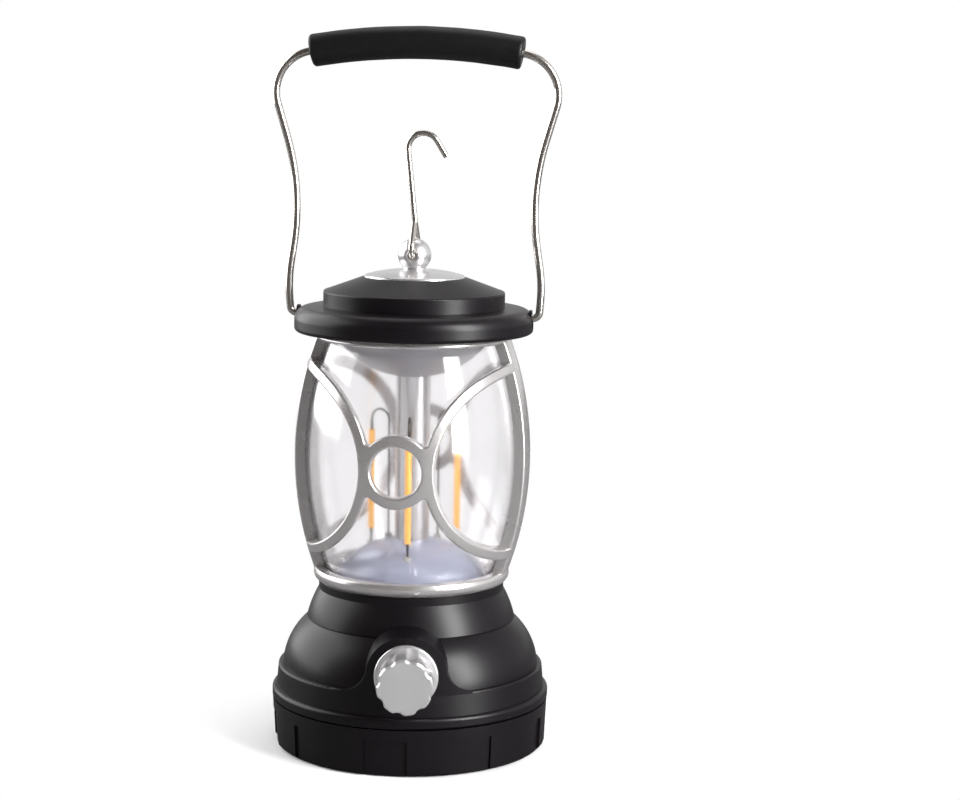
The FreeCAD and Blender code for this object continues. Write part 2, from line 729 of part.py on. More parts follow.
def guard_pattern():
    """The front ring and its two side arcs, with the ring's hole left open."""
    arc_x = ARC_NEAR + ARC_RADIUS
    solids = [front_view(disc(0, RING_HOLE / 2 + RING_BAND))]
    for x in (-arc_x, arc_x):
        band = disc(x, ARC_RADIUS + ARC_BAND / 2).cut(disc(x, ARC_RADIUS - ARC_BAND / 2))
        solids.append(front_view(band))
    return fused(solids).cut(front_view(disc(0, RING_HOLE / 2)))


def runs_through(edge):
    """Whether an edge runs through the guard's thickness, as at a window's corner."""
    first, last = edge.firstVertex().Point, edge.lastVertex().Point
    return abs(first.x - last.x) < 1e-4 and abs(first.z - last.z) < 1e-4 and abs(first.y - last.y) > WALL / 2


def bounds_window(edge, low, high):
    """Whether an edge lies on the guard's outer face, away from the seam and the two end faces."""
    first, last = edge.FirstParameter, edge.LastParameter
    points = [edge.valueAt(first + (last - first) * share) for share in (0.1, 0.5, 0.9)]
    on_face = all(abs(math.hypot(p.x, p.y) - barrel_radius(p.z, 0)) < 1e-3 for p in points)
    inside = all(p.y < -HALF_SEAM and low + HALF_SEAM < p.z < high - HALF_SEAM for p in points)
    return on_face and inside


def foot_bead():
    """The rounded face of the guard's lower hoop."""
    low, high = base_top, base_top + HOOP_LOW - GUARD_ROUND
    foot, top = (barrel_radius(low, 0), low), (barrel_radius(high, 0), high)
    inner = barrel_radius(low, GUARD_DEPTH / 2)
    return lathe((inner, low), foot, bowed(foot, top, HOOP_BULGE), (inner, high))


def cage_half():
    """One moulded half of the guard, on the front side."""
    low, high = base_top, seat_z - LOOSE
    shell = barrel(0, GUARD_DEPTH, low, high)
    span = 2 * belly_radius
    front = Part.makeBox(2 * span, span, high, V(-span, -span - HALF_SEAM / 2, 0))
    ribs = Part.makeBox(2 * span, RIB_HALF_WIDTH, high, V(-span, -RIB_HALF_WIDTH, 0))
    lower = Part.makeBox(2 * span, span, HOOP_LOW, V(-span, -span, low))
    upper = Part.makeBox(2 * span, span, HOOP_HIGH, V(-span, -span, high - HOOP_HIGH))
    bars = fused([ribs, lower, upper, guard_pattern()])
    half = shell.common(bars).common(front).removeSplitter()
    half = half.makeFillet(GUARD_CORNER, [edge for edge in half.Edges if runs_through(edge)])
    half = half.makeFillet(GUARD_ROUND, [edge for edge in half.Edges if bounds_window(edge, low, high)])
    return half.fuse(foot_bead().common(front)).removeSplitter()


def cage_front():
    return cage_half()


def cage_rear():
    rear = cage_half()
    rear.rotate(ORIGIN, UP, 180)
    return rear


def globe():
    return barrel(globe_near, globe_far, base_top + GASKET, seat_z - GASKET)


def gasket(low):
    """A flat ring against one end of the globe."""
    return ring(globe_mouth, barrel_radius(base_top, globe_near), low, low + GASKET)


def globe_gasket_lower():
    return gasket(base_top)


def globe_gasket_upper():
    return gasket(seat_z - GASKET)


# Light

def filament_angles():
    return [math.radians(FILAMENT_PHASE - 90 + 360.0 * k / FILAMENT_COUNT) for k in range(FILAMENT_COUNT)]


def light_rods(pitch, low, high, diameter):
    """An upright cylinder for each filament, at a radius from the axis."""
    return [rod(pitch * math.cos(a), pitch * math.sin(a), low, high, diameter) for a in filament_angles()]


def lower_dome(shrink):
    """The space under the lower reflector's face, or under its inside."""
    outer, edge, top = inner_radius - shrink, base_top + LOWER_EDGE - shrink, base_top + LOWER_RISE - shrink
    return lathe((post_hole, base_top), (outer, base_top), (outer, edge),
                 bowed((outer, edge), (post_hole, top), LOWER_BULGE))


def lower_reflector():
    cuts = [lower_dome(REFLECTOR_WALL)]
    for pitch in (FILAMENT_PITCH, RETURN_PITCH):
        cuts += light_rods(pitch, base_top, base_top + 2 * LOWER_RISE, SOCKET_DIAMETER + 2 * SLIDE)
    return lower_dome(0).cut(cuts)


def socket_top(pitch):
    """Height of a socket that stands a little proud of the lower reflector."""
    share = (inner_radius - pitch) / (inner_radius - post_hole)
    chord = base_top + LOWER_EDGE + share * (LOWER_RISE - LOWER_EDGE)
    return chord + LOWER_BULGE * 4 * share * (1 - share) + SOCKET_PROUD


def filament_sockets():
    posts = []
    for pitch in (FILAMENT_PITCH, RETURN_PITCH):
        posts += light_rods(pitch, base_top, socket_top(pitch), SOCKET_DIAMETER)
    return Part.makeCompound(posts)


def led_filaments():
    return Part.makeCompound(light_rods(FILAMENT_PITCH, filament_z, filament_top, FILAMENT_DIAMETER))


def hairpin(angle):
    """The wire from a filament's top, over and down to its return socket."""
    out = V(math.cos(angle), math.sin(angle), 0)
    half = (FILAMENT_PITCH - RETURN_PITCH) / 2
    crest = filament_top + HAIRPIN_RISE
    outer, inner = out * FILAMENT_PITCH, out * RETURN_PITCH
    middle = out * (FILAMENT_PITCH - half) + UP * (crest + half)
    edges = [
        Part.LineSegment(outer + UP * filament_top, outer + UP * crest).toShape(),
        Part.Arc(outer + UP * crest, middle, inner + UP * crest).toShape(),
        Part.LineSegment(inner + UP * crest, inner + UP * socket_top(RETURN_PITCH)).toShape(),
    ]
    return swept(edges, WIRE_DIAMETER)


def filament_wires():
    wires = [hairpin(angle) for angle in filament_angles()]
    wires += light_rods(FILAMENT_PITCH, socket_top(FILAMENT_PITCH), filament_z, WIRE_DIAMETER)
    return Part.makeCompound(wires)


def upper_bowl(shrink):
    """The space over the upper reflector's face, or over its inside."""
    outer, edge, low = inner_radius - shrink, seat_z - UPPER_EDGE + shrink, seat_z - UPPER_DROP + shrink
    return lathe((post_hole, seat_z), (outer, seat_z), (outer, edge),
                 bowed((outer, edge), (post_hole, low), -UPPER_BULGE))


def upper_reflector():
    return upper_bowl(0).cut(upper_bowl(REFLECTOR_WALL))


def centre_post():
    return ring(POST_DIAMETER / 2 - POST_WALL, POST_DIAMETER / 2, base_top, post_top)


def tie_rod():
    return rod(0, 0, nut_z, rod_top, ROD_DIAMETER)


def tie_nut():
    nut = placed(hexagon(ROD_NUT_ACROSS, ROD_NUT_HEIGHT), V(0, 0, nut_z))
    return nut.cut(rod(0, 0, nut_z, deck_z, ROD_DIAMETER + 2 * RUNNING))


# Cap

def brim_shell():
    shoulder = (brim_radius - BRIM_ROUND, brim_top - BRIM_ROUND)
    foot = (brim_radius - BRIM_FOOT_ROUND, brim_z + BRIM_FOOT_ROUND)
    inner = brim_radius - WALL
    ceiling = brim_top - BRIM_PLATE
    return lathe(
        (rod_hole, post_top), (seat_inner, post_top), (seat_inner, seat_z), (seat_outer, seat_z),
        (seat_outer, ceiling), (inner - BRIM_ROUND, ceiling), (inner, ceiling - BRIM_ROUND), (inner, brim_z),
        (brim_radius - BRIM_FOOT_ROUND, brim_z), quarter(foot, BRIM_FOOT_ROUND, -90),
        (brim_radius, brim_top - BRIM_ROUND), quarter(shoulder, BRIM_ROUND, 0),
        (crown_radius + LOOSE, crown_z), (rod_hole, crown_z))


def along_x(side, near, far, diameter):
    """A cylinder on the bail's axis, on one side of the cap."""
    return Part.makeCylinder(diameter / 2, far - near, V(side * near, 0, pivot_z), V(side, 0, 0))


def cap_brim():
    shell = brim_shell()
    room = Part.makeCylinder(brim_radius - WALL / 2, brim_top - BRIM_PLATE / 2 - brim_z, V(0, 0, brim_z))
    bosses = [along_x(side, seat_outer - WALL, brim_radius, PIVOT_BOSS).common(room) for side in (-1, 1)]
    corner = V(ear_face, -EAR_WIDTH / 2, pivot_z - EAR_WIDTH / 2)
    bore = along_x(1, ear_face - PIVOT_LENGTH, brim_radius, BUSH_DIAMETER + 2 * SLIDE)
    cuts = around(Part.makeBox(2 * EAR_DEPTH, EAR_WIDTH, BRIM_HEIGHT, corner), 2) + around(bore, 2)
    hole = rod(0, -cap_screw_pitch, post_top, crown_z, clear_hole)
    return fused([shell] + bosses).cut(cuts + around(hole, CAP_SCREWS)).removeSplitter()


def bail_bushes():
    bushes = []
    for side in (-1, 1):
        sleeve = along_x(side, ear_face - PIVOT_LENGTH, ear_face, BUSH_DIAMETER)
        flange = along_x(side, ear_face, ear_face + BUSH_FLANGE_THICKNESS, BUSH_FLANGE)
        bore = along_x(side, 0, 2 * brim_radius, BAIL_WIRE + 2 * RUNNING)
        bushes.append(sleeve.fuse(flange).cut(bore))
    return Part.makeCompound(bushes)


def cap_crown():
    step = (crown_radius - CROWN_ROUND, cone_z - CROWN_ROUND)
    outside = lathe((0, crown_z), (crown_radius, crown_z), (crown_radius, cone_z - CROWN_ROUND),
                    quarter(step, CROWN_ROUND, 0), (crown_flat, crown_top), (0, crown_top))
    inside = lathe((0, crown_z), (crown_radius - WALL, crown_z), (crown_radius - WALL, cone_z - WALL),
                   (crown_flat, crown_top - WALL), (0, crown_top - WALL))
    boss = rod(0, -cap_screw_pitch, crown_z, crown_top, SCREW_HEAD)
    pilot = rod(0, -cap_screw_pitch, crown_z, crown_z + SHORT_BITE + SCREW_SKIN, pilot_hole)
    shell = fused([outside.cut(inside)] + around(boss, CAP_SCREWS)).common(outside)
    return shell.cut(around(pilot, CAP_SCREWS) + [rod(0, 0, crown_z, crown_top, 2 * rod_hole)])


def cap_screws():
    fastener = placed(screw(BRIM_PLATE + SHORT_BITE), V(0, -cap_screw_pitch, post_top), V(1, 0, 0), 180)
    return Part.makeCompound(around(fastener, CAP_SCREWS))


def top_disc():
    rim = (DISC_RADIUS - DISC_EDGE, crown_top + DISC_EDGE)
    return lathe((rod_hole, crown_top), (DISC_RADIUS, crown_top),
                 quarter((DISC_RADIUS - DISC_EDGE, crown_top), DISC_EDGE, 0),
                 bowed(rim, (BALL_NECK / 2, disc_top), DISC_BULGE), (rod_hole, disc_top))


def finial():
    neck = rod(0, 0, disc_top, ball_z, BALL_NECK)
    ball = Part.makeSphere(BALL_DIAMETER / 2, V(0, 0, ball_z))
    bore = HOOK_WIRE / 2 + RUNNING
    through = Part.makeCylinder(bore, 2 * BALL_DIAMETER, V(0, -BALL_DIAMETER, ball_z), V(0, 1, 0))
    inset = V(0, BALL_DIAMETER / 2 - BALL_MOUTH, ball_z)
    flare = Part.makeCone(bore, bore + 2 * BALL_MOUTH, 2 * BALL_MOUTH, inset, V(0, 1, 0))
    mouths = around(flare, 2)
    socket = rod(0, 0, disc_top, rod_top + LOOSE, ROD_DIAMETER + 2 * RUNNING)
    below = rod(0, 0, crown_z, disc_top, 2 * BALL_DIAMETER)
    return neck.fuse(ball).cut(mouths + [through, socket, below]).removeSplitter()


# Hook

def hook():
    """The eye's loop stands in the YZ plane, and the hook's bend in the XZ plane."""
    lean = math.radians(HOOK_LEAN)
    top = V(0, 0, ball_z + BALL_DIAMETER / 2 + EYE_RISE)
    aside = V(0, HOOK_WIRE + LOOSE, 0)
    along = V(-math.sin(lean), 0, math.cos(lean))
    across = V(math.cos(lean), 0, math.sin(lean))
    shank_top = top + along * SHANK_LENGTH
    centre = shank_top + across * HOOK_BEND

    def on_bend(sweep):
        turn = math.radians(sweep)
        return centre - across * (HOOK_BEND * math.cos(turn)) + along * (HOOK_BEND * math.sin(turn))

    sweep = math.radians(HOOK_SWEEP)
    tail = across * math.sin(sweep) + along * math.cos(sweep)
    crook = [
        Part.LineSegment(top, shank_top).toShape(),
        Part.Arc(shank_top, on_bend(HOOK_SWEEP / 2), on_bend(HOOK_SWEEP)).toShape(),
        Part.LineSegment(on_bend(HOOK_SWEEP), on_bend(HOOK_SWEEP) + tail * HOOK_TAIL).toShape(),
    ]
    reach = BALL_DIAMETER / 2 + EYE_CLEAR + HOOK_WIRE / 2
    front, rear = V(0, -reach, ball_z), V(0, reach, ball_z)
    shoulder = UP * (EYE_BEND + EYE_SHOULDER)
    loop = [top - aside, front + shoulder, front, rear, rear + shoulder, top]
    return eye_and_crook(loop, crook)


def eye_and_crook(loop, crook):
    bends = [EYE_SHOULDER_BEND, EYE_BEND, EYE_BEND, EYE_SHOULDER_BEND]
    eye = bent_wire(loop, bends, HOOK_WIRE)
    shank = swept(crook, HOOK_WIRE)
    knuckle = Part.makeSphere(HOOK_WIRE / 2, loop[-1])
    return fused([eye, shank, knuckle])


# Bail

def grip_centre():
    return V(0, 0, pivot_z + GRIP_RISE - GRIP_ARCH)


def grip_half_angle(extra):
    return math.asin((GRIP_LENGTH / 2 + extra) / GRIP_ARCH)


def on_grip(angle):
    return grip_centre() + V(GRIP_ARCH * math.sin(angle), 0, GRIP_ARCH * math.cos(angle))


def bail_corner(waist, entry, angle):
    """Where the wire's run out of the grip and its run up from the waist cross, outside the bend."""
    lead = V(math.cos(angle), 0, -math.sin(angle))
    inward = V(-math.sin(angle), 0, -math.cos(angle))
    span = entry + lead * BAIL_RUN + inward * BAIL_CORNER_BEND - waist
    heading = math.atan2(span.z, span.x) - math.asin(BAIL_CORNER_BEND / span.Length)
    along = V(math.cos(heading), 0, math.sin(heading))
    reach = (entry - waist).cross(lead).y / along.cross(lead).y
    return waist + along * reach


def bail_side():
    """One leg of the bail's middle line, from its pivot end to the grip's curve."""
    angle = grip_half_angle(GRIP_LEAD)
    entry = on_grip(angle)
    waist = V(wire_x - BAIL_WAIST_IN, 0, pivot_z + BAIL_WAIST_RISE)
    return [
        V(ear_face - PIVOT_LENGTH + LOOSE, 0, pivot_z),
        V(wire_x, 0, pivot_z),
        V(wire_x + BAIL_LOW_OUT, 0, pivot_z + BAIL_LOW_RISE),
        waist,
        bail_corner(waist, entry, angle),
        entry,
    ]


def bail_wire():
    bends = [PIVOT_BEND, BAIL_LOW_BEND, BAIL_WAIST_BEND, BAIL_CORNER_BEND]
    leg = bent_wire(bail_side(), bends, BAIL_WIRE)
    mirrored = leg.mirror(ORIGIN, V(1, 0, 0))
    angle = grip_half_angle(GRIP_LEAD)
    arch = Part.Arc(on_grip(angle), on_grip(0), on_grip(-angle)).toShape()
    return fused([leg, mirrored, swept([arch], BAIL_WIRE)])


def bail_grip():
    """The foam sleeve, a stretch of a wide ring round the arch's centre."""
    angle = grip_half_angle(0)
    start = on_grip(-angle)
    along = V(math.cos(angle), 0, math.sin(angle))
    section = Part.Face(Part.Wire(Part.makeCircle(GRIP_DIAMETER / 2, start, along)))
    section = section.cut(Part.Face(Part.Wire(Part.makeCircle(BAIL_WIRE / 2 + RUNNING, start, along))))
    sleeve = section.revolve(grip_centre(), V(0, 1, 0), math.degrees(2 * angle))
    ends = [edge for edge in sleeve.Edges
            if edge.Curve.TypeId == "Part::GeomCircle" and abs(edge.Curve.Radius - GRIP_DIAMETER / 2) < 1e-6]
    return sleeve.makeFillet(GRIP_ROUND, ends)


PIECES = [
    base_body, battery_cover, cover_seal, cover_contacts, contact_leaves, contact_screws,
    battery_chassis, d_cells, cell_contacts, chassis_screws, driver_board, board_parts, board_screws,
    dimmer_pot, pot_nut, pot_shaft, knob,
    cage_front, cage_rear, globe, globe_gasket_lower, globe_gasket_upper,
    lower_reflector, upper_reflector, centre_post, tie_rod, tie_nut,
    filament_sockets, led_filaments, filament_wires,
    cap_brim, bail_bushes, cap_crown, cap_screws, top_disc, finial,
    hook, bail_wire, bail_grip,
]


def main():
    os.makedirs("parts", exist_ok=True)
    for piece in PIECES:
        shape = piece()
        name = piece.__name__
        shape.exportStep(os.path.join("parts", name + ".step"))
        print(f"{name}: solids {len(shape.Solids)}, volume {shape.Volume:.1f}, valid {shape.isValid()}")


main()
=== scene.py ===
# %% [markdown]
# # A camping lantern
# The lantern has a domed black base for three cells, a clear barrel globe inside a silver guard,
# a stepped cap with a ball and a hanging hook, and a wire bail with a foam sleeve.
# Its rigid pieces come from the CAD frame and already sit where they belong, so this lesson gives
# them their real materials, models the soft and small pieces, and lights the whole as in a studio.

# %% load the frame
import math

import bpy
from mathutils import Matrix, Vector


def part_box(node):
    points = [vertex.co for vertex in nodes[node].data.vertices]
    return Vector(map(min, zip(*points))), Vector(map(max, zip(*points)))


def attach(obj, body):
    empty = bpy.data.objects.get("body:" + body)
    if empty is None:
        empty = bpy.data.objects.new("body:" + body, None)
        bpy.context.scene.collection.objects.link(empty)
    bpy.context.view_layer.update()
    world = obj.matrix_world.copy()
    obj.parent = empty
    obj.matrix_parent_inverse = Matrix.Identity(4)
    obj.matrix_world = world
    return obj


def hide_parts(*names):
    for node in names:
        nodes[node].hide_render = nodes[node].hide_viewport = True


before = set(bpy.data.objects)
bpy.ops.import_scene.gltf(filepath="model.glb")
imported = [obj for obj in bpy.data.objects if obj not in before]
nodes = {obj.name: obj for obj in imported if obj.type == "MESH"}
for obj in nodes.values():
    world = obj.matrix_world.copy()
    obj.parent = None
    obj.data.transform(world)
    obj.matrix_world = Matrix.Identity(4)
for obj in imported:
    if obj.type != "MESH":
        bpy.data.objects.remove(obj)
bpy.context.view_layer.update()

MM = 0.001

# %% [markdown]
# The camera comes first, because every later judgement is made through it.
# The picture was taken from about a metre away with a long lens, a little above the cap and a
# little to the right. A camera is easiest to place by its height, distance and angles, turned in
# the order in which a photographer would: pan, tilt, then a slight roll.

# %% camera
CAMERA_DISTANCE = 1.0
CAMERA_HEIGHT = 0.2985
CAMERA_AZIMUTH = math.radians(8.2)
CAMERA_PAN = math.radians(-1.74)
CAMERA_TILT = math.radians(82.0)
CAMERA_ROLL = math.radians(0.85)
CAMERA_LENS = 83.3
CAMERA_NEAR = 0.05

bpy.ops.object.camera_add()
camera = bpy.context.object
camera.name = "studio_camera"
camera.data.lens = CAMERA_LENS
camera.data.clip_start = CAMERA_NEAR
place = Matrix.Translation((CAMERA_DISTANCE * math.sin(CAMERA_AZIMUTH),
                            -CAMERA_DISTANCE * math.cos(CAMERA_AZIMUTH), CAMERA_HEIGHT))
pan = Matrix.Rotation(CAMERA_AZIMUTH + CAMERA_PAN, 4, "Z")
tilt = Matrix.Rotation(CAMERA_TILT, 4, "X")
roll = Matrix.Rotation(CAMERA_ROLL, 4, "Z")
camera.matrix_world = place @ pan @ tilt @ roll
bpy.context.scene.camera = camera
bpy.context.scene.view_settings.view_transform = "Standard"
print("camera at", [round(c, 3) for c in camera.matrix_world.translation])

# %% [markdown]
# Materials need a few helpers. Colours are written as the sRGB hex values that a colour picker shows,
# and Blender wants linear light, so one function converts them. Another adds a node with its fields,
# socket values and links in one line. Patterns are given by the real size of their features.

# %% helpers for colours, nodes and sizes
WAVE_RADIANS = 20       # the wave texture's phase over one unit, at a scale of 1


def linear(code):
    """An sRGB hex colour as linear RGBA."""
    shares = [int(code[i:i + 2], 16) / 255 for i in (1, 3, 5)]
    return tuple(s / 12.92 if s <= 0.04045 else ((s + 0.055) / 1.055) ** 2.4 for s in shares) + (1.0,)


def add_node(tree, kind, fields=(), values=(), links=()):
    """Adds a node with its own fields, its sockets' values and the outputs linked into it."""
    made = tree.nodes.new(kind)
    for name, value in dict(fields).items():
        setattr(made, name, value)
    for socket, value in dict(values).items():
        made.inputs[socket].default_value = value
    for socket, output in dict(links).items():
        tree.links.new(output, made.inputs[socket])
    return made


def per_size(millimetres):
    """The texture scale at which one feature of a pattern has that size."""
    return 1.0 / (millimetres * MM)


def noise(tree, spot, millimetres, detail):
    """A cloudy pattern with features of that size."""
    made = add_node(tree, "ShaderNodeTexNoise", values={"Scale": per_size(millimetres), "Detail": detail},
                    links={"Vector": spot})
    return made.outputs["Fac"]


def bands(tree, spot, millimetres, distortion):
    """Level bands that far apart, up the height of a piece."""
    scale = per_size(millimetres) * 2 * math.pi / WAVE_RADIANS
    made = add_node(tree, "ShaderNodeTexWave", fields={"wave_type": "BANDS", "bands_direction": "Z"},
                    values={"Scale": scale, "Distortion": distortion}, links={"Vector": spot})
    return made.outputs["Fac"]


# %% [markdown]
# Each material starts in the same way, and then a pattern moves its colour, its roughness or its
# surface a little. These helpers do one of those things each, so that a material stays short
# enough to read. A piece of the CAD frame gets its material in place of the plain one it came with.

# %% helpers for materials
def new_material(name, sockets):
    """A material with its shader's constant values, and the coordinates its patterns read."""
    material = bpy.data.materials.new(name)
    material.use_nodes = True
    tree = material.node_tree
    shader = tree.nodes["Principled BSDF"]
    for socket, value in sockets.items():
        shader.inputs[socket].default_value = value
    spot = add_node(tree, "ShaderNodeTexCoord").outputs["Object"]
    return material, tree, shader, spot


def mixed(tree, share, values=(), links=()):
    """A colour that moves from A to B as the share goes from 0 to 1."""
    made = add_node(tree, "ShaderNodeMix", fields={"data_type": "RGBA"}, values=values,
                    links={"Factor": share, **dict(links)})
    return made.outputs["Result"]


def tint(tree, shader, share, first, second):
    """Moves the base colour from one shade to another."""
    tone = mixed(tree, share, values={"A": linear(first), "B": linear(second)})
    tree.links.new(tone, shader.inputs["Base Color"])
    return tone


def ramp(tree, value, start=0.0, end=1.0, low=0.0, high=1.0):
    """A value that goes from low to high between start and end, and stays level outside them."""
    made = add_node(tree, "ShaderNodeMapRange", links={"Value": value},
                    values={"From Min": start, "From Max": end, "To Min": low, "To Max": high})
    return made.outputs["Result"]


def polish(tree, shader, share, smooth, rough):
    """Moves the roughness between two values."""
    tree.links.new(ramp(tree, share, low=smooth, high=rough), shader.inputs["Roughness"])


def emboss(tree, shader, height, strength, depth):
    """Lets a pattern tilt the surface, as if it were that deep."""
    made = add_node(tree, "ShaderNodeBump", values={"Strength": strength, "Distance": depth},
                    links={"Height": height})
    tree.links.new(made.outputs["Normal"], shader.inputs["Normal"])


def dress(material, *names):
    """Gives CAD nodes a material in place of the plain one that they came with."""
    for name in names:
        nodes[name].data.materials.clear()
        nodes[name].data.materials.append(material)
    print(material.name, "on", ", ".join(names))


# %% [markdown]
# The base, the bottom cover and the cap are ABS, injection moulded in a mould with a fine
# spark-eroded skin. To the eye that is a soft satin black: broad blurred highlights, a very slight
# unevenness in the sheen, and no mirror image. Two noise patterns do it. A wide one moves the
# roughness and the colour a little. The grain of the skin is about 0.1 mm, too fine to show here,
# so it is drawn larger, as a shallow bump.

# %% satin black ABS
ABS_DRIFT = 18          # sizes of patterns are in millimetres
ABS_GRAIN = 0.6
ABS_GRAIN_DEPTH = 0.05 * MM
abs_black, tree, shader, spot = new_material("satin_black_abs", {"IOR": 1.53, "Specular IOR Level": 0.25})
drift = noise(tree, spot, ABS_DRIFT, detail=2.0)
tint(tree, shader, drift, "#0A070A", "#0F0B0F")
polish(tree, shader, drift, smooth=0.32, rough=0.38)
emboss(tree, shader, noise(tree, spot, ABS_GRAIN, detail=2.0), strength=0.08, depth=ABS_GRAIN_DEPTH)
dress(abs_black, "base_body", "battery_cover", "cap_brim", "cap_crown", "bail_bushes")

# %% [markdown]
# The guard is also moulded plastic, sprayed with a silver lacquer. Aluminium flakes in the lacquer
# make it look like metal with a wide soft shine, and the clear binder over them adds a sharper one.
# So the shader is mostly metallic with a medium roughness, under a thin coat. A fine noise tints it
# like the flakes, drawn at 0.5 mm because real ones are far too small to see. A wide one moves the
# roughness a little, as a sprayed coat is never quite even.

# %% silver lacquer
FLAKE_SIZE = 0.5
LACQUER_DRIFT = 25
lacquer, tree, shader, spot = new_material(
    "silver_lacquer", {"Metallic": 0.82, "Coat Weight": 0.3, "Coat Roughness": 0.12})
tint(tree, shader, noise(tree, spot, FLAKE_SIZE, detail=1.0), "#CCC9C9", "#D4D1D1")
polish(tree, shader, noise(tree, spot, LACQUER_DRIFT, detail=2.0), smooth=0.24, rough=0.30)
dress(lacquer, "cage_front", "cage_rear")

# %% [markdown]
# The globe is clear polystyrene, moulded with a polished surface. It lets nearly all light through,
# bends it a little at its walls, and mirrors bright things softly at its edges. Glass is the right
# shader, with an index near polystyrene's and a trace of roughness. A very wide, faint bump stands
# for the slow waviness that a moulded wall has.

# %% clear polystyrene
GLOBE_WAVES = 40
GLOBE_WAVE_DEPTH = 0.4 * MM
clear, tree, shader, spot = new_material(
    "clear_polystyrene", {"Base Color": linear("#FBFAFB"), "Roughness": 0.1, "IOR": 1.5,
                          "Transmission Weight": 1.0})
emboss(tree, shader, noise(tree, spot, GLOBE_WAVES, detail=0.0), strength=0.1, depth=GLOBE_WAVE_DEPTH)
dress(clear, "globe")

# %% [markdown]
# The bail and the hook are drawn stainless steel wire, tumbled bright. Its shine is nearly a mirror,
# so it shows the dark room in front of it and the white backdrop at its edges. The disc and the ball
# of the cap, and the knob, are plated plastic: the same kind of mirror, a little more blurred. One
# cell makes all three, because they differ only in colour, in roughness and in how metallic they are.

# %% bright metals
METAL_DRIFT = 6
BRIGHT_METALS = {   # two shades, metallic share, least and most roughness, wearers
    "bright_stainless_wire": ("#D6D0CA", "#E4DFDA", 0.96, 0.15, 0.21, ["bail_wire", "hook"]),
    "satin_plated_abs": ("#D2D1D2", "#E0DFE0", 0.85, 0.22, 0.30, ["top_disc", "finial"]),
    "satin_plated_knob": ("#DFDEDF", "#E8E7E8", 0.8, 0.22, 0.28, ["knob"]),
}
for name, (dark, light, metallic, smooth, rough, wearers) in BRIGHT_METALS.items():
    metal, tree, shader, spot = new_material(name, {"Metallic": metallic})
    drift = noise(tree, spot, METAL_DRIFT, detail=3.0)
    tint(tree, shader, drift, dark, light)
    polish(tree, shader, drift, smooth, rough)
    dress(metal, *wearers)

# %% [markdown]
# Inside the globe, the two reflectors are plastic with a vacuum-metallised skin, softer than a
# mirror. The lower one's pale blue shades are a painted reflection of a bluish room.

# %% reflectors
REFLECTOR_DRIFT = 14
REFLECTORS = {      # two shades, metallic share, roughness, wearer
    "metallised_upper": ("#BAB9BB", "#C8C7C9", 0.5, 0.38, "upper_reflector"),
    # the blue in these shades is a painted reflection
    "lower_metallised_painted_blue_reflection": ("#CCD1EA", "#D4D9F0", 0.1, 0.22, "lower_reflector"),
}
for name, (dark, light, metallic, rough, wearer) in REFLECTORS.items():
    mirror, tree, shader, spot = new_material(name, {"Metallic": metallic, "Roughness": rough})
    tint(tree, shader, noise(tree, spot, REFLECTOR_DRIFT, detail=2.0), dark, light)
    dress(mirror, wearer)

# %% [markdown]
# The post is anodised aluminium tube, turned, with faint rings round it. A lathe's rings are finer
# than can be seen here, so they are drawn 0.8 mm apart.

# %% post
POST_RINGS = 0.8
tube, tree, shader, spot = new_material("anodised_aluminium_tube", {"Metallic": 0.9})
turning = bands(tree, spot, POST_RINGS, distortion=0.4)
tint(tree, shader, turning, "#D2D1D2", "#DEDDDE")
polish(tree, shader, turning, smooth=0.26, rough=0.34)
dress(tube, "centre_post")

# %% [markdown]
# A light filament is a thin glass strip with a row of tiny chips under a yellow phosphor coat.
# The coat is matt and orange, and glows a little even in a bright room. The chips show through as
# bands so faint that they are hardly there.

# %% phosphor filaments
CHIP_PITCH = 2.0
phosphor, tree, shader, spot = new_material("phosphor_coat", {"Roughness": 0.45, "Emission Strength": 0.55})
tone = tint(tree, shader, bands(tree, spot, CHIP_PITCH, distortion=0.2), "#FBB655", "#FEBF5F")
tree.links.new(tone, shader.inputs["Emission Color"])
dress(phosphor, "led_filaments")

# %% [markdown]
# Each filament ends in two crimps, short sleeves of dark oxidised steel that grip the glass strip and
# taper to the lead wire. A cone would do for the taper, but it has no rounded lip where it meets the
# strip. One crimp starts as a cylinder with its far rim drawn in and both rims rounded. It is then
# copied to both ends of all three strips, which stand on a ring about the post.

# %% one crimp
CRIMP_RADIUS = 0.64 * MM
CRIMP_TIP = 0.5 * MM
CRIMP_LENGTH = 4.3 * MM
CRIMP_ROUND = 0.1 * MM
CRIMP_SIDES = 24
RIM_SEGMENTS = 3
RIM_ANGLE = math.radians(50)
CREASE_ANGLE = math.radians(40)
bpy.ops.object.select_all(action="DESELECT")
bpy.ops.mesh.primitive_cylinder_add(vertices=CRIMP_SIDES, radius=CRIMP_RADIUS, depth=CRIMP_LENGTH,
                                    location=(0, 0, CRIMP_LENGTH / 2))
crimp = bpy.context.object
bpy.ops.object.transform_apply(location=True, rotation=True, scale=True)
bpy.ops.object.mode_set(mode="EDIT")
bpy.ops.mesh.select_all(action="DESELECT")
bpy.ops.object.mode_set(mode="OBJECT")
for point in crimp.data.vertices:
    point.select = point.co.z > CRIMP_LENGTH / 2
bpy.ops.object.mode_set(mode="EDIT")
narrowing = CRIMP_TIP / CRIMP_RADIUS
bpy.ops.transform.resize(value=(narrowing, narrowing, 1), center_override=(0, 0, CRIMP_LENGTH))
bpy.ops.object.mode_set(mode="OBJECT")
lips = crimp.modifiers.new("lips", "BEVEL")
lips.width = CRIMP_ROUND
lips.segments = RIM_SEGMENTS
lips.angle_limit = RIM_ANGLE
bpy.ops.object.modifier_apply(modifier=lips.name)
bpy.ops.object.shade_smooth_by_angle(angle=CREASE_ANGLE)
print("one crimp:", len(crimp.data.polygons), "faces")

